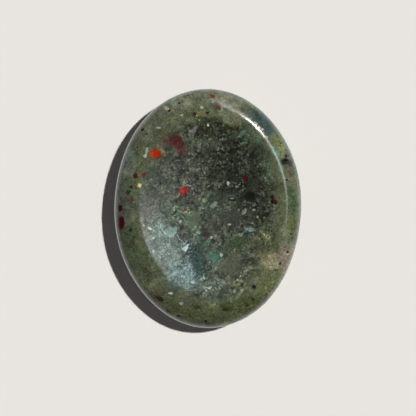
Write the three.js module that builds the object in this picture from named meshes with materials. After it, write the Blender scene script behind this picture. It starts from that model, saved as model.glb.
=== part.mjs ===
// A bloodstone worry stone: one oval, polished stone with a shallow hollow for the thumb in its top face.
// Millimetres, +Z up. The origin is on the surface it rests on, under the middle of its outline.
// +Y runs along the longer axis, and the hollow faces up.
import * as THREE from "three";

// Outline, seen from above
const LENGTH = 45;
const WIDTH = 35.2;
const EGG = 0.0135; // how much wider the +Y half is than the -Y half
const HAND_GROUND = 0.06; // how far the outline wanders from a true oval
const WANDER_WAVES = [{ count: 4, share: 1 }, { count: 6, share: 0.7 }];

// Section on the shorter axis. A slope says how far the surface tilts outwards from level, in degrees:
// 90 at the widest line, 0 on the crest of the rim, negative inside the hollow, 180 on the flat spot.
const THICKNESS = 7;
const WIDEST_SLOPE = 90;
const CREST_RADIUS = 2.4;
const EDGE = { radius: 2.6, endSlope: 42, steps: 5 };
const SHOULDER = { radius: 5, endSlope: 22, steps: 2 };
const CREST_OUTSIDE = { radius: CREST_RADIUS, endSlope: 0, steps: 3 };
const CREST_INSIDE = { radius: CREST_RADIUS, endSlope: -16, steps: 2 };
const WALL = { width: 3.5, steps: 2 }; // straight part of the hollow's side, as steep as the crest leaves it
const HOLLOW_FLOOR_STEPS = 7;
const BELLY = { width: 10, startSlope: 162, steps: 4 }; // domed underside, from the flat spot out
const UNDER_EDGE_STEPS = 5;
const FLAT_SLOPE = 180;

// Crest of the rim, seen from above: an oval a little off centre
const CREST_LENGTH = 34.6;
const CREST_WIDTH = 27.3;
const CREST_OFFSET = new THREE.Vector2(0.3, 0.6);

const SEGMENTS_AROUND = 84;

const halfWidth = WIDTH / 2;
const halfLength = LENGTH / 2;

// Points out of the surface, in the plane of the section
function normalAt(slope) {
  const angle = THREE.MathUtils.degToRad(slope);
  return new THREE.Vector2(Math.sin(angle), Math.cos(angle));
}

// Follows arcs end to end, each leaving the last without a corner. A negative radius makes a hollow arc.
function followArcs(start, startSlope, arcs) {
  const points = [start];
  let slope = startSlope;
  for (const { radius, endSlope, steps } of arcs) {
    const centre = points[points.length - 1].clone().addScaledVector(normalAt(slope), -radius);
    for (let step = 1; step <= steps; step++) {
      const here = THREE.MathUtils.lerp(slope, endSlope, step / steps);
      points.push(centre.clone().addScaledVector(normalAt(here), radius));
    }
    slope = endSlope;
  }
  return points;
}

// Half of the section, from the middle of the flat spot out and up to the middle of the hollow
function makeSection() {
  const toCrest = [EDGE, SHOULDER, CREST_OUTSIDE];
  const crestFromWidest = followArcs(new THREE.Vector2(), WIDEST_SLOPE, toCrest).pop();
  const widest = new THREE.Vector2(halfWidth, THICKNESS - crestFromWidest.y);

  const bellyNormal = normalAt(BELLY.startSlope);
  const bellyRadius = BELLY.width / bellyNormal.x;
  const bellyRise = bellyRadius * (1 + bellyNormal.y);
  const underEdgeRadius = (widest.y - bellyRise) / -bellyNormal.y;
  const underside = followArcs(widest, WIDEST_SLOPE, [
    { radius: underEdgeRadius, endSlope: BELLY.startSlope, steps: UNDER_EDGE_STEPS },
    { radius: bellyRadius, endSlope: FLAT_SLOPE, steps: BELLY.steps },
  ]);
  underside[underside.length - 1].y = 0;

  const rim = followArcs(widest, WIDEST_SLOPE, [...toCrest, CREST_INSIDE]);
  const wallNormal = normalAt(CREST_INSIDE.endSlope);
  const wallTop = rim[rim.length - 1];
  const wallFall = (WALL.width * wallNormal.x) / wallNormal.y;
  const wallFoot = wallTop.clone().add(new THREE.Vector2(-WALL.width, wallFall));
  const wall = new THREE.LineCurve(wallTop, wallFoot).getPoints(WALL.steps);
  const floor = followArcs(wallFoot, CREST_INSIDE.endSlope, [
    { radius: wallFoot.x / wallNormal.x, endSlope: 0, steps: HOLLOW_FLOOR_STEPS },
  ]);
  floor[floor.length - 1].x = 0;

  const stretches = [[new THREE.Vector2()], underside.reverse(), rim.slice(1), wall.slice(1), floor.slice(1)];
  return { points: stretches.flat(), crestRadius: halfWidth + crestFromWidest.x, widestHeight: widest.y };
}

function outlineAt(angle) {
  const waves = WANDER_WAVES.map(({ count, share }) => share * Math.sin(count * angle));
  const wander = HAND_GROUND * waves.reduce((sum, wave) => sum + wave);
  const sine = Math.sin(angle);
  return new THREE.Vector2(
    (halfWidth * (1 + EGG * sine) + wander) * Math.cos(angle),
    (halfLength + wander) * sine,
  );
}

function crestAt(angle) {
  return new THREE.Vector2(
    (CREST_WIDTH / 2) * Math.cos(angle),
    (CREST_LENGTH / 2) * Math.sin(angle),
  ).add(CREST_OFFSET);
}

// Where a point of the round section goes: below the widest line each ring is the outline made smaller,
// on the rim it lies between the outline and the crest, and in the hollow it is the crest made smaller
function placeOnOval(radius, height, angle, section) {
  const outline = outlineAt(angle);
  if (height <= section.widestHeight) {
    return outline.multiplyScalar(radius / halfWidth);
  }
  if (radius >= section.crestRadius) {
    const inwards = (halfWidth - radius) / (halfWidth - section.crestRadius);
    return outline.lerp(crestAt(angle), inwards);
  }
  return CREST_OFFSET.clone().lerp(crestAt(angle), radius / section.crestRadius);
}

function makeStoneGeometry() {
  const section = makeSection();
  const geometry = new THREE.LatheGeometry(section.points, SEGMENTS_AROUND);
  geometry.rotateX(Math.PI / 2);
  const position = geometry.getAttribute("position");
  for (let i = 0; i < position.count; i++) {
    const radius = Math.hypot(position.getX(i), position.getY(i));
    const angle = Math.atan2(position.getY(i), position.getX(i));
    const place = placeOnOval(radius, position.getZ(i), angle, section);
    position.setXY(i, place.x, place.y);
  }
  geometry.computeVertexNormals();
  return geometry;
}

const polishedBloodstone = new THREE.MeshStandardMaterial({
  color: 0x4c564b,
  roughness: 0.15,
  metalness: 0,
});

const stone = new THREE.Mesh(makeStoneGeometry(), polishedBloodstone);
stone.name = "worry_stone";

const part = new THREE.Group();
part.add(stone);

export default part;
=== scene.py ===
# A polished bloodstone worry stone on a pale floor, seen from straight above.
# Lengths are in millimetres until they reach Blender, which works in metres.
import math

import bmesh
import bpy
import numpy as np
from mathutils import Matrix, Vector, noise


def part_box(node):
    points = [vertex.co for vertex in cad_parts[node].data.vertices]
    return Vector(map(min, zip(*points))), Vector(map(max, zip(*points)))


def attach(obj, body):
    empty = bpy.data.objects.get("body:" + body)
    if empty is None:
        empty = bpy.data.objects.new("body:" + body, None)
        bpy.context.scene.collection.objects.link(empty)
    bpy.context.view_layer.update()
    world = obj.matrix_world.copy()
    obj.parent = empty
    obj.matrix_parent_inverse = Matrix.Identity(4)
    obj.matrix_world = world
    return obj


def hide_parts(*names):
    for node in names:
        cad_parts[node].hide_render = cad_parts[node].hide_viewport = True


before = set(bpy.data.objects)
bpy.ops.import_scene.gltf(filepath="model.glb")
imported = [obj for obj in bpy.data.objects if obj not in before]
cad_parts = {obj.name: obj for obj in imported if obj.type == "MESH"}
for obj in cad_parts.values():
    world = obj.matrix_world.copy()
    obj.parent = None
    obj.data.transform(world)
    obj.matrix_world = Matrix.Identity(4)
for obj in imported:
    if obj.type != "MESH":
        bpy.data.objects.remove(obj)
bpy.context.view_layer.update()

MM = 0.001

# The stone's size comes from its part in model.glb
low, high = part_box("worry_stone")
HALF_WIDTH = (high.x - low.x) / 2 / MM
HALF_LENGTH = (high.y - low.y) / 2 / MM
THICKNESS = (high.z - low.z) / MM

# Outline and crest of the rim, seen from above, as in the CAD model
EGG = 0.0135
HAND_GROUND = 0.06
WANDER_WAVES = ((4, 1), (6, 0.7))
CREST_HALF = (13.65, 17.3)
CREST_OFFSET = (0.3, 0.6)

# Section on the shorter axis. A slope is 90 at the widest line, 0 on the crest and 180 on the flat spot.
# Each arc is its radius, the slope it ends at and its number of steps.
WIDEST_SLOPE = 90
FLAT_SLOPE = 180
EDGE = (2.6, 42, 26)
SHOULDER = (5, 22, 12)
CREST_OUTSIDE = (2.4, 0, 14)
CREST_INSIDE = (2.4, -16, 10)
WALL_WIDTH = 3.5
BELLY_WIDTH = 10
BELLY_START = 162
UNDER_EDGE_STEPS = 24
RINGS = 60  # quads from the middle of the hollow, or of the underside, to its edge
SLACK = 1e-9  # a height so little over the widest line still counts as on it
WELD = 1e-4  # points nearer each other than this are one

# Unevenness that polishing leaves on the top: the size of the waves and their height
POLISH_WAVES = ((3.2, 0.010), (1.3, 0.0025))
POLISH_FADE = 1.5  # height over the widest line at which the waves are full

# How the photograph shows the stone: the picture's side and the middle of the outline in pixels
PHOTO = 416
STONE_IN_PHOTO = (207.9, 208.4)
STONE_TILT = math.radians(0.72)
PIXELS_PER_MM = 5.31  # at the height of the widest line
WIDEST_HEIGHT = 3.97
TOP_NEARER = 0.992  # the top face is nearer the camera than the widest line, so it looks larger
LENS = 120
SENSOR = 36
CLIP_START = 10

# Light. Azimuths are counted from +X towards +Y, and a light lies so many degrees from straight above.
# The half sizes of a softbox are in degrees too, as the stone sees it.
SUN = {"azimuth": 27.1, "from_above": 34.0, "strength": 3.54, "spread": 2.5}
AMBIENT = (0.074, 0.0695, 0.0725)
FLOOR_HALF = 3000
FLOOR_COLOUR = (0.80, 0.775, 0.738)
FLOOR_GLOW = (0.82, 0.79, 0.75)  # what the camera sees past the floor's edge
GLOSS_AMBIENT = (0.04, 0.04, 0.04)  # what the top face reflects beside the softboxes
EDGE_GLOW = (0.74, 0.75, 0.75)  # light from low down, which the steep edge of the stone reflects
EDGE_GLOW_START, EDGE_GLOW_FULL = 0.32, -0.42  # height of a direction, where straight up is 1
SOFTBOX_AWAY = 600
SOFTBOXES = {
    "core": {"azimuth": 49, "from_above": 35.5, "half": (7.4, 5), "turn": 0, "radiance": 88},
    "glow": {"azimuth": 42, "from_above": 33.5, "half": (42, 11), "turn": -13, "radiance": 4.3},
}

# Broad areas of the top face, painted one over the other. Each is an ellipse: its middle and half sizes in
# pixels of the photograph, its colour, its turn in degrees counter-clockwise if it has one, and how much it
# covers if that isn't the usual amount. The other tables of marks have the same columns.
AREAS = [
    # the hollow
    (208, 213, 66, 84, "444a3d"),
    (208, 203, 48, 60, "3f443a", 0, 0.7),
    (181, 177, 28, 24, "3f403a", 20, 0.8),
    (160, 190, 17, 30, "464c43", -8, 0.8),
    (175, 216, 17, 14, "42523f", 0, 0.7),
    (147, 209, 9, 15, "545751", 0, 0.8),
    (212, 129, 32, 10, "252715", 3, 0.85),
    (231, 119, 13, 8, "6c7059", -15, 0.8),
    (255, 143, 9, 12, "596853", 30, 0.85),
    (264, 167, 9, 17, "60735a", 8, 0.85),
    (266, 186, 8, 8, "33382a", 0, 0.85),
    (236, 166, 32, 34, "25281f"),
    (252, 203, 17, 13, "292c25"),
    (263, 222, 9, 9, "363f2d", 0, 0.75),
    (215, 235, 8, 7, "3b4139", 0, 0.6),
    (265, 243, 13, 15, "545a3e", 0, 0.8),
    (213, 203, 8, 13, "38443a", -20, 0.6),
    (248, 288, 26, 13, "565c46", 10, 0.8),
    (215, 290, 16, 10, "4a5548", 0, 0.85),
    (201, 243, 13, 11, "34463a", 0, 0.8),
    (190, 256, 11, 12, "1c2c29"),
    (238, 243, 12, 9, "3c4a35"),
    (232, 264, 13, 12, "55594b", 0, 0.95),
    (233, 218, 9, 8, "3f413c"),
    (193, 219, 8, 10, "4d5b47"),
    # The next two areas lie where the hollow's sheen falls; their lighter, bluer colour is partly the stone's
    # and partly painted sheen.
    (163, 243, 17, 24, "4c5e55", 15),
    (184, 276, 20, 14, "566e6c", -30),
    (199, 264, 8, 17, "002d29", 24),
    (215, 257, 8, 6, "3d5f50", 35, 0.95),
    # the rim
    (150, 125, 28, 12, "626655", 47, 0.8),
    (128, 163, 7, 16, "6a7366", -12, 0.85),
    (178, 105, 16, 9, "717563", 25, 0.7),
    (203, 98, 24, 8, "6c705c", 5, 0.8),
    (228, 101, 16, 7, "7a7a68", -15),
    (263, 121, 19, 9, "3b4c48", -50, 0.95),
    (265, 121, 10, 4, "3a494a", -52, 0.45),
    (278, 145, 6, 9, "646a46", 12, 0.95),
    (291, 174, 5, 9, "62604f", 10),
    (291, 201, 6, 15, "46543d", 2),
    (293, 226, 5, 7, "555a36", -5),
    (271, 262, 10, 11, "868168"),
    (285, 258, 9, 14, "7d7364", -18, 0.95),
    (272, 282, 17, 10, "656b4a", 47),
    (262, 275, 8, 8, "666a4c", 0, 0.6),
    (241, 305, 24, 9, "474c2e", 17),
    (200, 313, 40, 9, "4d5138", -8, 0.85),
    (154, 285, 13, 9, "5b5e48", -45),
    (134, 245, 8, 22, "4a5640", 14, 0.85),
    (145, 268, 6, 9, "3f4432", 30, 0.8),
    (141, 247, 5, 26, "515640", 14, 0.6),
    (124, 205, 7, 20, "5a5b54", 0, 0.85),
]

# Marks. A later row lies over an earlier one.
SOFT_MARKS = [
    # The first two rows are the pale teal line along the right crest: a painted reflection of the light
    # there.
    (278.6, 160, 2.6, 17, "55705f", 14),
    (274, 152, 4, 5, "566e5e", 30),
    (172, 140.6, 12.5, 8.4, "523532", 8),
    (180.6, 146.6, 11, 7.2, "4e2d28", -62),
    (176.5, 141, 8, 7, "481f1b", -30),
    (167, 149, 5, 2.2, "30332f", -10),
    (156.4, 154, 8, 7, "6c3822"),
    (290, 162.6, 3.6, 5, "373a30"),
    (284, 162, 5, 4, "12140e"),
    (285.8, 159.8, 2.8, 1.9, "020302"),
]
DARK_MARKS = [
    (142.3, 129.3, 1.6, 1.3, "17130c"), (137.6, 147.2, 1, 1, "1c1f18"),
    (179, 103.2, 1.5, 1.2, "1a2414", 20), (188, 95.6, 1.8, 0.9, "33392a", 10),
    (207.3, 113.1, 1.7, 1.5, "0c100a"), (169.4, 110.8, 2.2, 1.3, "1e2414", 40),
    (131.4, 187, 1.9, 1.6, "1f2519"), (128.5, 192, 2.8, 2.2, "2a3024", 30),
    (130.7, 230, 1.4, 1.9, "0e120d"), (280.7, 143.4, 1.1, 1.1, "20231a"),
    (286.2, 156.2, 0.9, 2.1, "060804"), (291.1, 233.9, 1.6, 1.1, "22260f"),
    (285, 247.2, 1.1, 1, "5c4e3a"), (287.6, 252, 1.7, 1.2, "15100c"),
    (274.9, 251.7, 1.6, 0.9, "5c5643", 20), (280.2, 263.4, 1.6, 1.2, "1c1a10", 30),
    (276.3, 269.7, 2.4, 1.4, "4a4a30"), (253.8, 286.7, 2.3, 2.2, "0d0f0a"),
    (253.3, 299.4, 1.7, 1.5, "1b1f10"), (242.2, 284.4, 2.4, 1.3, "20241a", 40),
    (266.1, 294.4, 1.9, 1.2, "2e2f20", 40), (247.2, 305.6, 2.2, 1.2, "1f2312", 30),
    (225.6, 309.4, 3.4, 2, "23280f"), (168, 311.7, 2.6, 1.5, "10140a", -35),
    (178.4, 316.2, 2.6, 1.2, "181c0c", 10), (196.9, 307.4, 3.2, 2.1, "383c26", 10),
    (205.8, 321.1, 1.9, 1.4, "0e120a"), (225.3, 256.3, 1.9, 3.1, "2a3833", -35),
    (233, 199.6, 4.4, 1.6, "1a221e"), (224, 196, 1.1, 5.2, "39423b"),
    (250, 196.5, 6.5, 5, "12140e"), (237.5, 128.4, 2.9, 1.3, "3a1c12", 50),
    (260.9, 126.4, 1.5, 0.8, "4a5448", -45), (264.6, 131.4, 1.5, 0.8, "3c4640", -45),
]
RED_MARKS = [
    (152.8, 154.8, 2, 2.4, "a8380e"), (182, 190.6, 2.2, 2, "8a2a22"),
    (135.5, 176, 2.5, 2.7, "480004"), (144.4, 175.2, 2.4, 2.6, "602022", 45),
    (120.2, 208, 2.4, 3.7, "34060c", -8), (121.2, 223, 3.6, 7, "3c0009", -6),
    (121.2, 222.8, 3.5, 6.6, "3c000a", -6), (120.1, 208, 2, 3.2, "34000a", -8),
    (185.3, 209.5, 2, 1.9, "643436"), (207.3, 234.9, 2.9, 2.6, "4c2024"),
    (245.6, 178.5, 2.6, 2.6, "520002"), (272.1, 196.9, 2.2, 2.6, "340a0c"),
    (274, 201.5, 3.8, 3.2, "380a0c", -15), (271.8, 201.8, 1.3, 1.6, "0c0002"),
    (259.2, 188.4, 2.1, 2.6, "50302a", 20), (286.8, 180.2, 1.4, 1.1, "2c0e08"),
    (212.4, 96.2, 3.2, 2.1, "6a3014", -35), (218, 106.4, 4.6, 2.5, "4a2c26", -60),
    (195, 114.6, 2.3, 2.2, "2c100c"), (146.8, 134.1, 1.9, 1.6, "4a3220"),
    (132.1, 199.5, 2.2, 2, "54382c"), (196.2, 152, 1.7, 1.5, "2a1412"),
    (160.2, 183.4, 1.6, 1.5, "120404"), (160.3, 299, 4, 2.6, "32120a", -35),
    (156.5, 297, 2, 1.3, "44281a", -20), (255.8, 249, 1.9, 1.6, "503e2c"),
]
PALE_MARKS_AND_GLINTS = [
    (166.4, 108, 2.9, 1.9, "aeac8e", -30), (173.5, 101.5, 5.5, 3, "78876e", 70),
    (201.8, 107.8, 1.8, 1.2, "a6a684"), (201.2, 113.9, 4.6, 2.9, "6e7048"),
    (181.7, 115.7, 1.8, 1.3, "a4a47c"), (158.8, 128, 2.3, 1, "b8b8a0", 5),
    (196.6, 115.9, 0.9, 0.9, "b4a078"), (188.5, 159.6, 1.6, 1.2, "70826a"),
    (192.4, 131.4, 7, 2.8, "686a62", 43), (147.1, 151, 1.4, 3.8, "989c90", -12),
    (145.6, 156, 1.8, 1.6, "b4baac"), (139.7, 185.8, 1.7, 2.1, "d4c584"),
    (185, 212.4, 2.6, 0.7, "6c746e", 10), (211.3, 237.6, 1.7, 1.4, "bcbaa2", 45),
    (228.1, 183.4, 1.1, 2.4, "b8bcb4", 5), (236.8, 186.8, 1.3, 1.2, "8c9088"),
    (239.4, 184.6, 1.8, 0.8, "969a94", 50), (208.9, 186, 1.1, 1, "7c827c"),
    (208.1, 125.3, 1, 1.2, "c8c8b0"), (199.4, 120, 1.1, 1, "a0a288"),
    (232.2, 198.4, 1.7, 0.7, "8aa696"), (213.9, 204.9, 4.7, 2.5, "7c867a", 35),
    (244.2, 211.9, 3.6, 2.1, "788078", 50), (229.4, 224.5, 1.9, 0.7, "b4aca2", 5),
    (254.4, 204.4, 1.7, 0.9, "78887c", 40), (253.9, 210, 1.7, 1.3, "84947e", 20),
    (257.4, 217, 1.2, 1.2, "b4ae80"), (252.4, 223.2, 1.1, 1.1, "909a86"),
    (252.8, 234, 1.1, 1.2, "888c78"), (259.1, 238.8, 1.6, 1.1, "9c9080"),
    (267.9, 236.8, 2.1, 2.1, "9a9a72"), (267.9, 236.8, 1.1, 1.1, "3a4626"),
    (242.4, 234, 4.2, 0.8, "5c7058", 52), (209, 194.6, 3.4, 1.5, "5c6c56", 66),
    (205.4, 200.4, 2.6, 1.4, "66785a", 48), (202.6, 205.4, 2.2, 1, "4e5a46", 30),
    (206.4, 205.4, 2.4, 0.9, "44503e", 62), (210.6, 200.6, 3.6, 0.9, "404e42", 76),
    (203.6, 186, 1.2, 5.5, "53624e", -10), (221.1, 255, 1.7, 1.6, "b4b4a6"),
    # Among these, the brightest flecks in the lower left of the hollow, where its sheen falls, are partly
    # painted glints.
    (143.8, 225.4, 1.2, 1.1, "b0b6a2"), (149.8, 228.4, 2.2, 1.2, "aeb49c", -35),
    (179.9, 221.7, 1.5, 1.3, "8ea096"), (198.6, 232.6, 2.3, 1.7, "7c9486"),
    (194.6, 226.6, 1.6, 1.1, "768a72"), (153.8, 250.8, 1.7, 1.3, "bccec2"),
    (138.8, 241.6, 2.2, 1.8, "605c46"), (170.6, 292.9, 2.5, 1, "b4bcb4", 5),
    (181.2, 303.4, 2, 1.5, "84a08c"), (193, 282.6, 2.2, 1.8, "a6a29a"),
    (209.7, 287.4, 2.2, 1.7, "88948a"), (204.1, 277.9, 1.2, 1.6, "7e9a92"),
    (224.1, 282, 1.3, 3.2, "7a8684", 25), (234.4, 291.1, 1.8, 1.3, "94a49e", 30),
    (241, 291.5, 4.2, 1.4, "7e8e82", 52), (265.6, 287.9, 1, 1.3, "8c8e66"),
    (287.8, 254.4, 1.5, 1.1, "a89888"), (213.9, 304, 2.4, 1.1, "80806c"),
    (231, 299.4, 1.1, 3.2, "66786a", 10), (212.9, 101.6, 1.5, 1.5, "7a8c76"),
    # The pale flecks from (255.6, 123.4) to (266.8, 136.8), and the one at (243.6, 113.6), are painted glints
    # along the crest's highlight.
    (221.8, 109.4, 0.8, 2.4, "8a8476", 10), (255.6, 123.4, 2.6, 0.9, "c4bc94", -45),
    (259.4, 127.2, 1.7, 0.9, "aea274", -52), (262.1, 129.7, 1.3, 1, "c8c8b4", -45),
    (263.4, 133.2, 1.7, 0.7, "9c9078", -50), (266.8, 136.8, 1.4, 0.8, "a4ac98", -45),
    (243.6, 113.6, 1.6, 0.7, "8c9080", -20), (246.8, 121.8, 1.7, 1.1, "3c6e60", -45),
    (241.8, 133.6, 4.6, 1.6, "5c766e", 45), (243.4, 143.2, 3.2, 0.9, "587c62", 5),
]

# Flakes with straight sides: corners in order round the flake, in pixels, and colour
FLAKES = [
    (((150.6, 156.8), (151.4, 153.6), (154.2, 150.8), (157.6, 150), (160.4, 152.6), (161.4, 157.4)),
     "9c2400"),
    (((178.2, 191.4), (181, 188), (186, 186.4), (189, 187.2), (188.6, 192), (184.4, 195.4), (180.4, 194.6)),
     "7c2014"),
    (((181, 249.2), (184.4, 246.6), (188.9, 243.9), (188, 247.6), (185.3, 252.2)), "9cb2ac"),
    (((176.9, 226.4), (177.2, 232.6), (170.6, 238.2), (164.8, 235.8), (162.6, 231.4), (168.4, 227.4)),
     "7a9488"),
    (((244.3, 230.8), (247.4, 227.9), (254.8, 228.2), (255.6, 231.4), (249, 231.8)), "6a807a"),
]
FLAKE_BLUR = 0.14

# Strokes in the hollow: cell size, share of the cells that hold one, half length and half width, and strength
PALE_NEEDLES = [
    (0.58, 0.5, (0.2, 0.12), 0.5),
    (0.95, 0.4, (0.38, 0.12), 0.45),
    (1.5, 0.35, (0.6, 0.15), 0.32),
]
DARK_NEEDLES = [(1.2, 0.45, (0.5, 0.18), 0.6)]
DARK_NEEDLE_COLOUR = "181d18"
NEEDLE_INNER, NEEDLE_OUTER = 0.6, 1.25
FAINTEST_NEEDLE = 0.3

# A pale needle is the paint made this much brighter, mixed half and half with a colour
BRIGHTEN = (3.5, 3.5, 3.5, 1)
NEEDLE_COLOUR, NEEDLE_COLOUR_IN_FROST = "a2a292", "a0b2ac"

# Frosted part of the hollow, where its sheen falls: middle and half sizes in pixels, and turn.
# Its pale specks and bluer needles are partly painted glints and sheen.
FROST_AND_SHEEN = (174, 248, 56, 27, -61)
FROST_FADE = (0.4, 1.2, 1)

# Small pits, where the polish is missing and the highlight breaks: middle and half sizes in pixels
PITS = [(245.3, 117.6, 1.2, 1), (265.4, 138.9, 1.1, 0.8), (250.6, 121, 0.7, 0.5), (268.4, 142.2, 1, 0.6)]
PIT_FADE = (0.6, 1.2, 0.9)

# Specks: shift and cell size, share of the cells that hold one, largest radius in cells, and colour
DARK_SPECKS = (0, 1.1, 0.5, 0.2, "14180f")
# The frost's pale specks are partly painted glints of the hollow's sheen
FROST_SPECKS_AND_GLINTS = (0, 0.36, 0.5, 0.42, "c4dcd8")
RIM_SPECKS = (9, 0.7, 0.35, 0.35, "9a9c7a")
DARK_SPECK_COVER, FROST_SPECK_AND_GLINT_COVER, RIM_SPECK_COVER = 0.7, 0.5, 0.3
SMALLEST_SPECK = 0.4  # against the largest
SPECK_BLUR = 0.12

# The underside. Patches of noise: shift and size, where they start and are full, and colour. Specks as above.
UNDERSIDE_COLOUR = "586049"
UNDERSIDE_DETAIL = 3
UNDERSIDE_PATCHES = [
    (0, 7, 0.42, 0.62, "384432"),
    (20, 5, 0.5, 0.64, "46625a"),
    (40, 5.5, 0.52, 0.66, "6c6c58"),
    (60, 4, 0.55, 0.68, "23281f"),
]
UNDERSIDE_SPECKS = [
    (0, 6, 0.4, 0.3, "4e1a14"),
    (10, 2.6, 0.22, 0.2, "86200c"),
    (30, 2, 0.3, 0.14, "a4a88c"),
]
UNDERSIDE_SPECK_COVER = 0.9
TOP_START, TOP_FULL = 2.6, 3.6  # heights between which the underside's paint gives way to the top's

# How ellipses fade: the shares of the half sizes up to which one is solid and at which it is gone, and cover
AREA_FADE = (0.65, 1.25, 0.9)
SOFT_FADE = (0.4, 1.2, 0.9)
MARK_FADE = (0.7, 1.2, 0.9)

# The grain is coarse inside the crest, an oval whose middle is in pixels and whose half sizes are in mm,
# apart from some smooth patches: middle and half sizes in pixels, and how smooth
HOLLOW_MIDDLE = (209, 208)
HOLLOW_HALF = (12.8, 17.3)
HOLLOW_INNER, HOLLOW_OUTER = 0.87, 1.05
SMOOTH_PATCHES = [
    (232, 264, 11, 11, 1), (233, 218, 8, 7, 1), (193, 219, 7, 8, 1), (238, 244, 9, 6, 1),
    (215, 257, 5, 3, 1), (198, 260, 9, 14, 0.7), (158, 190, 18, 32, 0.4), (223, 212, 16, 19, 0.45),
    (203, 236, 13, 12, 0.35),
]
SMOOTH_FADE = (0.7, 1.3)

# The rim has olive stains and yellow specks, apart from one clean patch: middle and half sizes in pixels
CLEAN_PATCH = (280, 257, 13, 15)
CLEAN_FADE = (0.7, 1.2, 0.8)
STAIN_SHIFT = (0, 9, 0)
STAIN_SIZE, STAIN_DETAIL = 1, 4
STAIN_START, STAIN_FULL, STAIN_COVER = 0.56, 0.66, 0.45
STAIN_COLOUR = "262a18"

# Ragged edges come from noise that moves each place: its size, its reach and its detail
AREA_DRIFT = (2.6, 1.1, 3)
MARK_DRIFT = (0.45, 0.27, 3)
GRAIN_DRIFT = (0.8, 0.22, 2)
NEEDLE_DRIFT = (0.7, 0.07, 2)

# What lightens and darkens the ground. Strengths are powers of e.
GROUND_COLOUR = "5a604a"
GROUND_NOISES = [(1.5, 3, 1.4), (4, 2, 0.9), (0.28, 2, 2)]  # size, detail and strength
GRAIN_SIZE, GRAIN_STRENGTH, GRAIN_STRENGTH_IN_HOLLOW = 0.42, 0.4, 1
CLUMP_SIZE, CLUMP_STRENGTH = 1.15, 0.45
BLOT_SIZE, BLOT_DETAIL, BLOT_STRENGTH = 2.1, 3, 0.5
BLOT_START, BLOT_FULL = 0.38, 0.6
SHARE_ON_MARKS = 0.55  # how much of it a mark keeps

# Scribbles: size of their bends, half width as a difference of noise, and share of the length that is left
DARK_SCRIBBLES = (0.7, 0.12, 0.6)
DARK_SCRIBBLE_SHIFT, DARK_SCRIBBLE_STRENGTH = (5, 3, 0), -0.7
PALE_SCRIBBLES = (0.5, 0.1, 0.2)
PALE_SCRIBBLE_COLOUR, PALE_SCRIBBLE_COVER = "a4b0a8", 0.12
GAP_SIZE = 1.7  # size of the gaps, against that of the scribble
GAP_LOW, GAP_HIGH = 0.4, 0.6  # nearly all of the noise that makes the gaps lies between these
GAP_BLUR = 0.02

# The hollow's grain is strong in some spots and calm in others, and a little calmer where it is frosted
SPOT_SIZE, SPOT_DETAIL = 1.9, 2
SPOT_START, SPOT_FULL = 0.38, 0.6
CALM_GRAIN, STRONG_GRAIN_MORE, FROST_CALMS = 0.4, 0.9, 0.1

# Warm and cool tints
TINT_SIZE, TINT_DETAIL = 1.6, 2
TINT_START, TINT_FULL, TINT_COVER = 0.35, 0.65, 0.4
COOL_TINT, WARM_TINT = "e8fbff", "fff6dc"

# The surface: its finish on the rim, how much rougher and duller the hollow is, and how far grains lean
ROUGHNESS, ROUGHER_IN_HOLLOW = 0.2, 0.18
POLISH_IN_HOLLOW = 0.5
LEANING_GRAIN_SIZE = 0.38
LEAN, MORE_LEAN_IN_HOLLOW = 0.08, 0.14
IOR = 1.54
SPECULAR_LEVEL = 0.35
COAT_ROUGHNESS = 0.08


def normal_at(slope):
    """Points out of the surface, in the plane of the section."""
    return np.array([math.sin(math.radians(slope)), math.cos(math.radians(slope))])


def follow_arcs(start, slope, arcs):
    """Follows arcs end to end, each leaving the last without a corner."""
    points = [np.array(start, float)]
    for radius, end_slope, steps in arcs:
        centre = points[-1] - radius * normal_at(slope)
        for step in range(1, steps + 1):
            here = slope + (end_slope - slope) * step / steps
            points.append(centre + radius * normal_at(here))
        slope = end_slope
    return points


def make_section():
    """Half of the section, in three stretches that each run outwards."""
    to_crest = [EDGE, SHOULDER, CREST_OUTSIDE]
    crest = follow_arcs((0, 0), WIDEST_SLOPE, to_crest)[-1]
    widest = np.array([HALF_WIDTH, THICKNESS - crest[1]])
    rim = follow_arcs(widest, WIDEST_SLOPE, [*to_crest, CREST_INSIDE])

    wall_normal = normal_at(CREST_INSIDE[1])
    wall_foot = rim[-1] + np.array([-WALL_WIDTH, WALL_WIDTH * wall_normal[0] / wall_normal[1]])
    wall_rings = round(RINGS * WALL_WIDTH / rim[-1][0])
    wall = np.linspace(wall_foot, rim[-1], wall_rings + 1)
    floor_radius = wall_foot[0] / wall_normal[0]
    floor = follow_arcs(wall_foot, CREST_INSIDE[1], [(floor_radius, 0, RINGS - wall_rings)])

    belly_normal = normal_at(BELLY_START)
    belly_radius = BELLY_WIDTH / belly_normal[0]
    under_edge_radius = (widest[1] - belly_radius * (1 + belly_normal[1])) / -belly_normal[1]
    under_edge = follow_arcs(widest, WIDEST_SLOPE, [(under_edge_radius, BELLY_START, UNDER_EDGE_STEPS)])
    belly_rings = round(RINGS * BELLY_WIDTH / under_edge[-1][0])
    belly = follow_arcs(under_edge[-1], BELLY_START, [(belly_radius, FLAT_SLOPE, belly_rings)])
    flat = np.linspace((0, 0), (belly[-1][0], 0), RINGS - belly_rings + 1)
    return {
        "hollow": np.vstack([floor[::-1], wall[1:]]),
        "edge": np.vstack([rim[::-1], under_edge[1:]]),
        "underside": np.vstack([flat, belly[::-1][1:]]),
        "widest height": widest[1],
        "crest radius": HALF_WIDTH + crest[0],
    }


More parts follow.
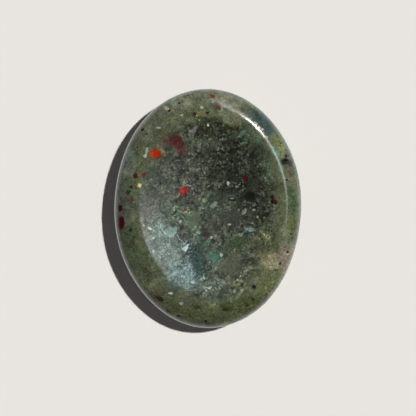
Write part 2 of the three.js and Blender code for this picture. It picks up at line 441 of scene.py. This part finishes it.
def place_on_oval(radius, height, angle, section):
    """Where a point of the round section goes on the oval stone."""
    wander = HAND_GROUND * sum(share * np.sin(count * angle) for count, share in WANDER_WAVES)
    sine, cosine = np.sin(angle), np.cos(angle)
    outline = np.stack([(HALF_WIDTH * (1 + EGG * sine) + wander) * cosine, (HALF_LENGTH + wander) * sine])
    offset = np.array(CREST_OFFSET).reshape(2, *[1] * angle.ndim)
    crest = np.stack([CREST_HALF[0] * cosine, CREST_HALF[1] * sine]) + offset
    inwards = (HALF_WIDTH - radius) / (HALF_WIDTH - section["crest radius"])
    on_rim = outline + (crest - outline) * inwards
    in_hollow = offset + (crest - offset) * radius / section["crest radius"]
    upper = np.where(radius >= section["crest radius"], on_rim, in_hollow)
    place = np.where(height <= section["widest height"] + SLACK, outline * radius / HALF_WIDTH, upper)
    return np.stack([place[0], place[1], height * np.ones_like(angle)], axis=-1)


def disc_points(stretch, section):
    """A square sheet of quads, bent so that its square rings become the rings of the stretch."""
    steps = np.arange(-RINGS, RINGS + 1)
    u, v = np.meshgrid(steps, steps, indexing="ij")
    ring = np.maximum(abs(u), abs(v))
    safe_ring = np.maximum(ring, 1)  # no division by 0 in the middle
    beside = math.pi / 4 * v / safe_ring * np.sign(u) + np.where(u < 0, math.pi, 0)
    above = math.pi / 2 * np.sign(v) - math.pi / 4 * u / safe_ring * np.sign(v)
    angle = np.where(abs(u) >= abs(v), beside, above)
    return place_on_oval(stretch[ring, 0], stretch[ring, 1], angle, section)


def edge_points(stretch, section):
    """The band round the stone, with as many columns as the discs have quads round their edge."""
    angle = np.linspace(0, 2 * math.pi, 8 * RINGS + 1)[:-1] - math.pi / 4
    radius, angles = np.meshgrid(stretch[:, 0], angle, indexing="ij")
    height, _ = np.meshgrid(stretch[:, 1], angle, indexing="ij")
    return place_on_oval(radius, height, angles, section)


def join_sheets(sheets):
    """One mesh from sheets of points. A closed sheet joins its last column to its first."""
    vertices, faces = [], []
    for points, closed in sheets:
        rows, columns = points.shape[:2]
        index = np.arange(rows * columns).reshape(rows, columns) + sum(map(len, vertices))
        this = index if closed else index[:, :-1]
        following = np.roll(index, -1, axis=1) if closed else index[:, 1:]
        faces.append(np.stack([this[:-1], following[:-1], following[1:], this[1:]], axis=-1).reshape(-1, 4))
        vertices.append(points.reshape(-1, 3))
    mesh = bpy.data.meshes.new("bloodstone_worry_stone")
    mesh.from_pydata((np.vstack(vertices) * MM).tolist(), [], np.vstack(faces).tolist())
    return mesh


def polish_unevenly(work, section):
    """Moves the top face in and out a little, so that the highlights are not machine straight."""
    for vertex in work.verts:
        place = vertex.co / MM
        above_widest = min(max((place.z - section["widest height"]) / POLISH_FADE, 0), 1)
        swell = sum(height * noise.noise(place / size) for size, height in POLISH_WAVES)
        vertex.co += vertex.normal * swell * above_widest * MM


def make_stone():
    """The stone as one mesh: a sheet for the hollow, one for the underside, and a band round the edge."""
    section = make_section()
    mesh = join_sheets([
        (disc_points(section["hollow"], section), False),
        (edge_points(section["edge"], section), True),
        (disc_points(section["underside"], section), False),
    ])
    work = bmesh.new()
    work.from_mesh(mesh)
    bmesh.ops.remove_doubles(work, verts=work.verts, dist=WELD * MM)
    bmesh.ops.recalc_face_normals(work, faces=work.faces)
    work.normal_update()
    polish_unevenly(work, section)
    for face in work.faces:
        face.smooth = True
    work.to_mesh(mesh)
    work.free()
    stone = bpy.data.objects.new("bloodstone_worry_stone", mesh)
    bpy.context.scene.collection.objects.link(stone)
    return stone


def linear(colour):
    """A colour written as six hex digits, as the shader takes it."""
    channels = [int(colour[i:i + 2], 16) / 255 for i in (0, 2, 4)]
    return (*[c / 12.92 if c <= 0.04045 else ((c + 0.055) / 1.055) ** 2.4 for c in channels], 1)


def on_stone(pixel):
    """The place on the stone, in mm, that a pixel of the photograph shows."""
    right = (pixel[0] - STONE_IN_PHOTO[0]) / PIXELS_PER_MM * TOP_NEARER
    up = (STONE_IN_PHOTO[1] - pixel[1]) / PIXELS_PER_MM * TOP_NEARER
    return Matrix.Rotation(-STONE_TILT, 2) @ Vector((right, up))


class Nodes:
    """Writes a node tree as plain calls. A setting is a value, or the output of another node."""

    def __init__(self, tree):
        self.tree = tree

    def add(self, kind, sockets, **options):
        node = self.tree.nodes.new("ShaderNode" + kind)
        for name, value in options.items():
            setattr(node, name, value)
        for name, value in sockets.items():
            self.set(node.inputs[name], value)
        return node

    def set(self, socket, value):
        if isinstance(value, bpy.types.NodeSocket):
            self.tree.links.new(value, socket)
        else:
            socket.default_value = value

    def math(self, operation, a, b=0.0, c=0.0):
        return self.add("Math", {0: a, 1: b, 2: c}, operation=operation).outputs[0]

    def product(self, *factors):
        total = factors[0]
        for factor in factors[1:]:
            total = self.math("MULTIPLY", total, factor)
        return total

    def sum(self, *terms):
        total = terms[0]
        for term in terms[1:]:
            total = self.math("ADD", total, term)
        return total

    def rest(self, amount):
        """What an amount leaves of 1."""
        return self.math("SUBTRACT", 1, amount)

    def vector(self, operation, a, b=(0, 0, 0)):
        return self.add("VectorMath", {0: a, 1: b}, operation=operation).outputs["Vector"]

    def scaled(self, vector, factor):
        return self.add("VectorMath", {0: vector, "Scale": factor}, operation="SCALE").outputs["Vector"]

    def length(self, vector):
        return self.add("VectorMath", {0: vector}, operation="LENGTH").outputs["Value"]

    def dot(self, vector, direction):
        return self.add("VectorMath", {0: vector, 1: direction}, operation="DOT_PRODUCT").outputs["Value"]

    def mix(self, amount, a, b, blend_type="MIX"):
        sockets = {"Factor": amount, "A": a, "B": b}
        return self.add("Mix", sockets, data_type="RGBA", blend_type=blend_type).outputs["Result"]

    def ramp(self, value, start, end, top=1.0):
        """0 up to the start and the top value from the end on, smooth in between."""
        # The smooth step stays in range by itself, and clamps would overflow the renderer's stack
        sockets = {"Value": value, "From Min": start, "From Max": end, "To Max": top}
        return self.add("MapRange", sockets, interpolation_type="SMOOTHSTEP", clamp=False).outputs[0]

    def in_ellipse_space(self, place, middle, half, turn):
        """The place as an ellipse sees it: 0 at its middle, and 1 long on its edge."""
        if turn:
            sockets = {"Vector": place, "Center": (*middle, 0), "Angle": math.radians(-turn)}
            place = self.add("VectorRotate", sockets, rotation_type="Z_AXIS").outputs[0]
        scale = (1 / half[0], 1 / half[1], 0)
        offset = (-middle[0] / half[0], -middle[1] / half[1], 0)
        sockets = {0: place, 1: scale, 2: offset}
        return self.add("VectorMath", sockets, operation="MULTIPLY_ADD").outputs["Vector"]

    def noise(self, place, size, detail=2.0):
        sockets = {"Vector": place, "Scale": 1 / size, "Detail": detail}
        return self.add("TexNoise", sockets).outputs

    def cells(self, place, size, dimensions="3D"):
        sockets = {"Vector": place, "Scale": 1 / size}
        return self.add("TexVoronoi", sockets, voronoi_dimensions=dimensions).outputs

    def parts(self, vector):
        return self.add("SeparateXYZ", {0: vector}).outputs


def shifted(nodes, place, size, reach, detail):
    """The place moved by noise, so that what is painted there gets ragged edges."""
    drift = nodes.vector("SUBTRACT", nodes.noise(place, size, detail)["Color"], (0.5, 0.5, 0.5))
    return nodes.vector("ADD", place, nodes.scaled(drift, 2 * reach))


def ellipse_amount(nodes, place, fade, x, y, along, across, turn=0):
    """How much an ellipse given in pixels covers: all of its cover in its middle, and nothing outside it."""
    solid, gone, cover = fade
    half = (along / PIXELS_PER_MM, across / PIXELS_PER_MM)
    reach = nodes.length(nodes.in_ellipse_space(place, on_stone((x, y)), half, turn))
    return nodes.ramp(reach, gone, solid, cover)


def cover_ellipse(nodes, place, fade, x, y, along, across, colour, turn=0, cover=None):
    """How much a row of a table of ellipses covers, and its colour."""
    solid, gone, usual_cover = fade
    fade = (solid, gone, cover or usual_cover)
    return ellipse_amount(nodes, place, fade, x, y, along, across, turn), colour


def cover_flake(nodes, place, blur, corners, colour):
    """The same for a flake with straight sides, by how far a place lies outside the nearest side."""
    corners = [on_stone(corner) for corner in corners]
    middle = sum(corners, Vector((0, 0))) / len(corners)
    outside = None
    for start, end in zip(corners, corners[1:] + corners[:1]):
        along = (end - start).normalized()
        side = Vector((along.y, -along.x))
        if side.dot(start - middle) < 0:
            side = -side
        distance = nodes.math("SUBTRACT", nodes.dot(place, (*side, 0)), side.dot(start))
        outside = distance if outside is None else nodes.math("MAXIMUM", outside, distance)
    return nodes.ramp(outside, blur, -blur), colour


def make_layer(name, rows, cover, fade):
    """A node group that lays the rows of a table over a paint, and says where it did."""
    tree = bpy.data.node_groups.new(name, "ShaderNodeTree")
    for socket, kind in (("Paint", "Color"), ("Place", "Vector"), ("Marked", "Float")):
        tree.interface.new_socket(socket, in_out="INPUT", socket_type="NodeSocket" + kind)
    for socket, kind in (("Paint", "Color"), ("Marked", "Float")):
        tree.interface.new_socket(socket, in_out="OUTPUT", socket_type="NodeSocket" + kind)
    nodes = Nodes(tree)
    given = tree.nodes.new("NodeGroupInput").outputs
    result = tree.nodes.new("NodeGroupOutput").inputs
    paint, marked = given["Paint"], given["Marked"]
    for row in rows:
        amount, colour = cover(nodes, given["Place"], fade, *row)
        paint = nodes.mix(amount, paint, linear(colour))
        marked = nodes.math("MAXIMUM", marked, amount)
    nodes.set(result["Paint"], paint)
    nodes.set(result["Marked"], marked)
    return tree


def swing(nodes, value, strength):
    """A value round 0.5 as a change round 0."""
    return nodes.product(nodes.math("SUBTRACT", value, 0.5), strength)


def specks(nodes, place, size, share, radius):
    """Scattered specks: `share` of the cells hold one, with a radius of up to `radius` cells."""
    cell = nodes.cells(place, size)
    chance = nodes.parts(cell["Color"])
    held = nodes.math("LESS_THAN", chance[0], share)
    smallest = SMALLEST_SPECK * radius
    reach = nodes.math("MULTIPLY_ADD", chance[1], radius - smallest, smallest)
    inside = nodes.math("SUBTRACT", reach, cell["Distance"])
    return nodes.product(nodes.ramp(inside, 0, SPECK_BLUR), held)


def lay_specks(nodes, paint, place, row, cover):
    """Lays scattered specks over the paint."""
    shift, size, share, radius, colour = row
    amount = specks(nodes, nodes.vector("ADD", place, (shift, 0, 0)), size, share, radius)
    return nodes.mix(nodes.product(amount, cover), paint, linear(colour))


def scribbles(nodes, place, size, width, share):
    """Thin crooked lines, broken so that about `share` of their length is left."""
    field = nodes.noise(place, size, detail=1)["Fac"]
    beside = nodes.math("ABSOLUTE", nodes.math("SUBTRACT", field, 0.5))
    gaps = nodes.noise(place, GAP_SIZE * size, detail=0)["Fac"]
    cut = GAP_HIGH - (GAP_HIGH - GAP_LOW) * share
    kept = nodes.ramp(gaps, cut - GAP_BLUR, cut + GAP_BLUR)
    return nodes.product(nodes.ramp(beside, width, 0), kept)


def needles(nodes, place, size, share, half):
    """Short strokes in all directions: `share` of the cells hold one, with these half sizes."""
    cell = nodes.cells(place, size, "2D")
    chance = nodes.parts(cell["Color"])
    held = nodes.math("LESS_THAN", chance[0], share)
    from_middle = nodes.vector("SUBTRACT", place, cell["Position"])
    sockets = {"Vector": from_middle, "Angle": nodes.math("MULTIPLY", chance[1], 2 * math.pi)}
    along = nodes.add("VectorRotate", sockets, rotation_type="Z_AXIS").outputs[0]
    reach = nodes.length(nodes.vector("MULTIPLY", along, (1 / half[0], 1 / half[1], 0)))
    strength = nodes.math("MULTIPLY_ADD", chance[2], 1 - FAINTEST_NEEDLE, FAINTEST_NEEDLE)
    return nodes.product(nodes.ramp(reach, NEEDLE_OUTER, NEEDLE_INNER), held, strength)


def lay_marks(nodes, paint, loose, wavy):
    """Lays every table over the paint. Returns the paint, and how far small marks cover it."""
    layers = (
        ("areas", AREAS, cover_ellipse, AREA_FADE, loose),
        ("soft marks", SOFT_MARKS, cover_ellipse, SOFT_FADE, wavy),
        ("flakes", FLAKES, cover_flake, FLAKE_BLUR, wavy),
        ("dark marks", DARK_MARKS, cover_ellipse, MARK_FADE, wavy),
        ("red marks", RED_MARKS, cover_ellipse, MARK_FADE, wavy),
        ("pale marks", PALE_MARKS_AND_GLINTS, cover_ellipse, MARK_FADE, wavy),
    )
    marked = 0.0
    for name, rows, cover, fade, place in layers:
        group = nodes.tree.nodes.new("ShaderNodeGroup")
        group.node_tree = make_layer(name, rows, cover, fade)
        nodes.set(group.inputs["Paint"], paint)
        nodes.set(group.inputs["Place"], place)
        nodes.set(group.inputs["Marked"], marked)
        paint = group.outputs["Paint"]
        if name != "areas":
            marked = group.outputs["Marked"]
    return paint, marked


def paint_underside(nodes, place, crooked):
    """Green patches, red blotches and pale flecks, scattered where the photograph shows nothing."""
    paint = linear(UNDERSIDE_COLOUR)
    for shift, size, start, full, colour in UNDERSIDE_PATCHES:
        patch = nodes.noise(nodes.vector("ADD", place, (shift, 0, 0)), size, UNDERSIDE_DETAIL)["Fac"]
        paint = nodes.mix(nodes.ramp(patch, start, full), paint, linear(colour))
    for row in UNDERSIDE_SPECKS:
        paint = lay_specks(nodes, paint, crooked, row, UNDERSIDE_SPECK_COVER)
    return paint


def find_coarse(nodes, loose, top):
    """Two values, each 1 inside the crest and 0 on the rim. The second one leaves out the smooth patches."""
    crest = nodes.in_ellipse_space(loose, on_stone(HOLLOW_MIDDLE), HOLLOW_HALF, 0)
    hollow = nodes.product(nodes.ramp(nodes.length(crest), HOLLOW_OUTER, HOLLOW_INNER), top)
    coarse = hollow
    for *ellipse, smoothness in SMOOTH_PATCHES:
        smooth = ellipse_amount(nodes, loose, (*SMOOTH_FADE, smoothness), *ellipse)
        coarse = nodes.product(coarse, nodes.rest(smooth))
    return hollow, coarse


def find_polish(nodes, flat, hollow):
    """How glossy the polished skin is: less so in the hollow, and hardly at all in a pit."""
    polish = nodes.math("MULTIPLY_ADD", hollow, POLISH_IN_HOLLOW - 1, 1)
    for pit in PITS:
        polish = nodes.product(polish, nodes.rest(ellipse_amount(nodes, flat, PIT_FADE, *pit)))
    return polish


def find_strength(nodes, place, frost_and_sheen):
    """How strong the grain of the hollow is."""
    spots = nodes.noise(place, SPOT_SIZE, SPOT_DETAIL)["Fac"]
    strength = nodes.math("ADD", nodes.ramp(spots, SPOT_START, SPOT_FULL, STRONG_GRAIN_MORE), CALM_GRAIN)
    return nodes.math("MULTIPLY_ADD", frost_and_sheen, -FROST_CALMS, strength)


def find_lightness(nodes, place, crooked, coarse, strength):
    """How much lighter, as a power of e, the grain makes each place."""
    grain = nodes.parts(nodes.cells(crooked, GRAIN_SIZE)["Color"])[0]
    clumps = nodes.parts(nodes.cells(crooked, CLUMP_SIZE)["Color"])[0]
    dark = scribbles(nodes, nodes.vector("ADD", crooked, DARK_SCRIBBLE_SHIFT), *DARK_SCRIBBLES)
    fine = nodes.sum(
        swing(nodes, grain, GRAIN_STRENGTH_IN_HOLLOW),
        nodes.product(dark, DARK_SCRIBBLE_STRENGTH),
    )
    blots = nodes.noise(crooked, BLOT_SIZE, BLOT_DETAIL)["Fac"]
    inside = nodes.sum(
        nodes.product(fine, strength),
        swing(nodes, clumps, CLUMP_STRENGTH),
        swing(nodes, nodes.ramp(blots, BLOT_START, BLOT_FULL), BLOT_STRENGTH),
    )
    ground = [
        swing(nodes, nodes.noise(place, size, detail)["Fac"], amount)
        for size, detail, amount in GROUND_NOISES
    ]
    everywhere = nodes.sum(*ground, swing(nodes, grain, GRAIN_STRENGTH))
    return nodes.sum(nodes.product(coarse, inside), everywhere)


def shade_ground(nodes, paint, place, lightness, unmarked):
    """Makes the paint lighter and darker by the grain, and warmer and cooler from spot to spot."""
    share = nodes.math("MULTIPLY_ADD", unmarked, 1 - SHARE_ON_MARKS, SHARE_ON_MARKS)
    factor = nodes.math("POWER", math.e, nodes.product(lightness, share))
    paint = nodes.mix(1, paint, factor, "MULTIPLY")
    warm = nodes.ramp(nodes.noise(place, TINT_SIZE, TINT_DETAIL)["Fac"], TINT_START, TINT_FULL)
    tint = nodes.mix(warm, linear(COOL_TINT), linear(WARM_TINT))
    return nodes.mix(nodes.product(unmarked, TINT_COVER), paint, tint, "MULTIPLY")


def draw_strokes(nodes, paint, bent, crooked, frost_and_sheen, open_grain):
    """Pale scribbles, and pale and dark needles, in the open grain of the hollow."""
    amount = nodes.product(scribbles(nodes, crooked, *PALE_SCRIBBLES), open_grain, PALE_SCRIBBLE_COVER)
    paint = nodes.mix(amount, paint, linear(PALE_SCRIBBLE_COLOUR))
    brighter = nodes.mix(1, paint, BRIGHTEN, "MULTIPLY")
    pale_colour = nodes.mix(frost_and_sheen, linear(NEEDLE_COLOUR), linear(NEEDLE_COLOUR_IN_FROST))
    brighter = nodes.mix(0.5, brighter, pale_colour)
    for colour, rows in ((brighter, PALE_NEEDLES), (linear(DARK_NEEDLE_COLOUR), DARK_NEEDLES)):
        for size, share, half, strength in rows:
            amount = nodes.product(needles(nodes, bent, size, share, half), open_grain, strength)
            paint = nodes.mix(amount, paint, colour)
    return paint


def stain_rim(nodes, paint, loose, crooked, hollow, unmarked):
    """Olive stains and yellow specks on the rim."""
    clean = ellipse_amount(nodes, loose, CLEAN_FADE, *CLEAN_PATCH)
    rim = nodes.product(nodes.rest(hollow), nodes.rest(clean), unmarked)
    stains = nodes.noise(nodes.vector("ADD", crooked, STAIN_SHIFT), STAIN_SIZE, STAIN_DETAIL)["Fac"]
    amount = nodes.product(nodes.ramp(stains, STAIN_START, STAIN_FULL, STAIN_COVER), rim)
    paint = nodes.mix(amount, paint, linear(STAIN_COLOUR))
    return lay_specks(nodes, paint, crooked, RIM_SPECKS, nodes.product(rim, RIM_SPECK_COVER))


def paint_stone(nodes):
    """Returns the colour, the polish, where the hollow and its coarse grain are, and leaning grains."""
    place = nodes.scaled(nodes.add("TexCoord", {}).outputs["Object"], 1 / MM)
    top = nodes.ramp(nodes.parts(place)[2], TOP_START, TOP_FULL)
    flat = nodes.vector("MULTIPLY", place, (1, 1, 0))
    loose = shifted(nodes, flat, *AREA_DRIFT)
    wavy = shifted(nodes, flat, *MARK_DRIFT)
    bent = shifted(nodes, flat, *NEEDLE_DRIFT)
    crooked = shifted(nodes, place, *GRAIN_DRIFT)

    paint, marked = lay_marks(nodes, linear(GROUND_COLOUR), loose, wavy)
    paint = nodes.mix(top, paint_underside(nodes, place, crooked), paint)
    unmarked = nodes.rest(nodes.product(marked, top))

    hollow, coarse = find_coarse(nodes, loose, top)
    frost_and_sheen = ellipse_amount(nodes, loose, FROST_FADE, *FROST_AND_SHEEN)
    strength = find_strength(nodes, place, frost_and_sheen)
    open_grain = nodes.product(coarse, unmarked, strength)
    lightness = find_lightness(nodes, place, crooked, coarse, strength)

    paint = shade_ground(nodes, paint, place, lightness, unmarked)
    paint = draw_strokes(nodes, paint, bent, crooked, frost_and_sheen, open_grain)
    # Pale specks where the hollow's sheen falls, partly painted glints
    sparkling = nodes.product(frost_and_sheen, open_grain, FROST_SPECK_AND_GLINT_COVER)
    paint = lay_specks(nodes, paint, crooked, FROST_SPECKS_AND_GLINTS, sparkling)
    paint = lay_specks(nodes, paint, crooked, DARK_SPECKS, nodes.product(unmarked, DARK_SPECK_COVER))
    paint = stain_rim(nodes, paint, loose, crooked, hollow, unmarked)
    leaning = nodes.cells(crooked, LEANING_GRAIN_SIZE)["Color"]
    return paint, find_polish(nodes, flat, hollow), hollow, coarse, leaning


def make_bloodstone():
    """Polished bloodstone, whose grains lean a little each way under the glossy skin."""
    material = bpy.data.materials.new("bloodstone")
    material.use_nodes = True
    nodes = Nodes(material.node_tree)
    shader = material.node_tree.nodes["Principled BSDF"]
    paint, polish, hollow, coarse, leaning = paint_stone(nodes)
    lean = nodes.vector("SUBTRACT", leaning, (0.5, 0.5, 0.5))
    lean = nodes.scaled(lean, nodes.math("MULTIPLY_ADD", coarse, MORE_LEAN_IN_HOLLOW, LEAN))
    surface = nodes.add("NewGeometry", {}).outputs["Normal"]
    nodes.set(shader.inputs["Base Color"], paint)
    nodes.set(shader.inputs["Normal"], nodes.vector("NORMALIZE", nodes.vector("ADD", surface, lean)))
    nodes.set(shader.inputs["Roughness"], nodes.math("MULTIPLY_ADD", hollow, ROUGHER_IN_HOLLOW, ROUGHNESS))
    nodes.set(shader.inputs["Coat Weight"], polish)
    nodes.set(shader.inputs["IOR"], IOR)
    nodes.set(shader.inputs["Specular IOR Level"], SPECULAR_LEVEL)
    nodes.set(shader.inputs["Coat Roughness"], COAT_ROUGHNESS)
    return material


def make_camera():
    """Straight above the stone, as far up as makes it as large as in the photograph."""
    data = bpy.data.cameras.new("camera")
    data.lens = LENS
    data.sensor_width = SENSOR
    data.clip_start = CLIP_START * MM
    camera = bpy.data.objects.new("camera", data)
    bpy.context.scene.collection.objects.link(camera)
    distance = PHOTO / PIXELS_PER_MM / SENSOR * LENS
    right = (PHOTO / 2 - STONE_IN_PHOTO[0]) / PIXELS_PER_MM
    up = (STONE_IN_PHOTO[1] - PHOTO / 2) / PIXELS_PER_MM
    camera.location = Vector((right, up, distance + WIDEST_HEIGHT)) * MM
    camera.rotation_euler = (0, 0, -STONE_TILT)
    bpy.context.scene.camera = camera


def direction(azimuth, from_above):
    """Points from the stone to a light."""
    azimuth, from_above = math.radians(azimuth), math.radians(from_above)
    across = math.sin(from_above)
    return Vector((across * math.cos(azimuth), across * math.sin(azimuth), math.cos(from_above)))


def add_light(name, data, toward, away=0):
    light = bpy.data.objects.new(name, data)
    light.location = toward * away * MM
    light.rotation_euler = toward.to_track_quat("Z", "Y").to_euler()
    bpy.context.scene.collection.objects.link(light)
    return light


def make_sun():
    """Lights the stone and casts its shadow, but makes no highlight."""
    data = bpy.data.lights.new("sun", "SUN")
    data.energy = SUN["strength"]
    data.angle = math.radians(SUN["spread"])
    sun = add_light("sun", data, direction(SUN["azimuth"], SUN["from_above"]))
    sun.visible_glossy = False


def make_softbox(name, azimuth, from_above, half, turn, radiance):
    """A soft light for reflections only, brightest in its middle and fading to nothing at its edge."""
    data = bpy.data.lights.new(name, "AREA")
    data.shape = "RECTANGLE"
    data.size, data.size_y = [2 * SOFTBOX_AWAY * MM * math.tan(math.radians(angle)) for angle in half]
    data.energy = radiance * math.pi * data.size * data.size_y
    data.use_nodes = True
    nodes = Nodes(data.node_tree)
    place = nodes.add("NewGeometry", {}).outputs["Parametric"]
    from_middle = nodes.length(nodes.vector("SUBTRACT", place, (0.5, 0.5, 0)))
    sockets = {"Value": from_middle, "From Min": 0.5, "From Max": 0.0}
    fade = nodes.add("MapRange", sockets, interpolation_type="SMOOTHERSTEP").outputs[0]
    nodes.set(data.node_tree.nodes["Emission"].inputs["Strength"], fade)
    softbox = add_light(name, data, direction(azimuth, from_above), SOFTBOX_AWAY)
    softbox.rotation_euler.rotate_axis("Z", math.radians(turn))
    softbox.visible_diffuse = False
    softbox.visible_camera = False


def make_world():
    """Dim above, pale low down for the stone's steep edge to reflect, and pale where the camera sees it."""
    world = bpy.data.worlds.new("world")
    bpy.context.scene.world = world
    world.use_nodes = True
    nodes = Nodes(world.node_tree)
    height = nodes.parts(nodes.add("TexCoord", {}).outputs["Generated"])[2]
    low_down = nodes.ramp(height, EDGE_GLOW_START, EDGE_GLOW_FULL)
    gloss = nodes.add("LightPath", {}).outputs["Is Glossy Ray"]
    dim = nodes.mix(gloss, (*AMBIENT, 1), (*GLOSS_AMBIENT, 1))
    colour = nodes.mix(low_down, dim, (*EDGE_GLOW, 1))
    seen = nodes.add("LightPath", {}).outputs["Is Camera Ray"]
    colour = nodes.mix(seen, colour, (*FLOOR_GLOW, 1))
    background = world.node_tree.nodes["Background"]
    background.inputs["Strength"].default_value = 1
    nodes.set(background.inputs["Color"], colour)


def make_floor():
    """A pale floor. No reflection shows it, because the world is pale low down instead."""
    half = FLOOR_HALF * MM
    mesh = bpy.data.meshes.new("floor")
    corners = [(-half, -half, 0), (half, -half, 0), (half, half, 0), (-half, half, 0)]
    mesh.from_pydata(corners, [], [(0, 1, 2, 3)])
    floor = bpy.data.objects.new("floor", mesh)
    bpy.context.scene.collection.objects.link(floor)
    floor.visible_glossy = False
    material = bpy.data.materials.new("floor")
    material.use_nodes = True
    material.node_tree.nodes.remove(material.node_tree.nodes["Principled BSDF"])
    nodes = Nodes(material.node_tree)
    diffuse = nodes.add("BsdfDiffuse", {"Color": (*FLOOR_COLOUR, 1)})
    nodes.set(material.node_tree.nodes["Material Output"].inputs["Surface"], diffuse.outputs[0])
    mesh.materials.append(material)


bpy.context.scene.view_settings.view_transform = "Standard"
make_camera()
make_sun()
for name, softbox in SOFTBOXES.items():
    make_softbox(name, **softbox)
make_world()
make_floor()

stone = make_stone()
stone.data.materials.append(make_bloodstone())
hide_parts("worry_stone")
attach(stone, "root")

bpy.context.view_layer.update()
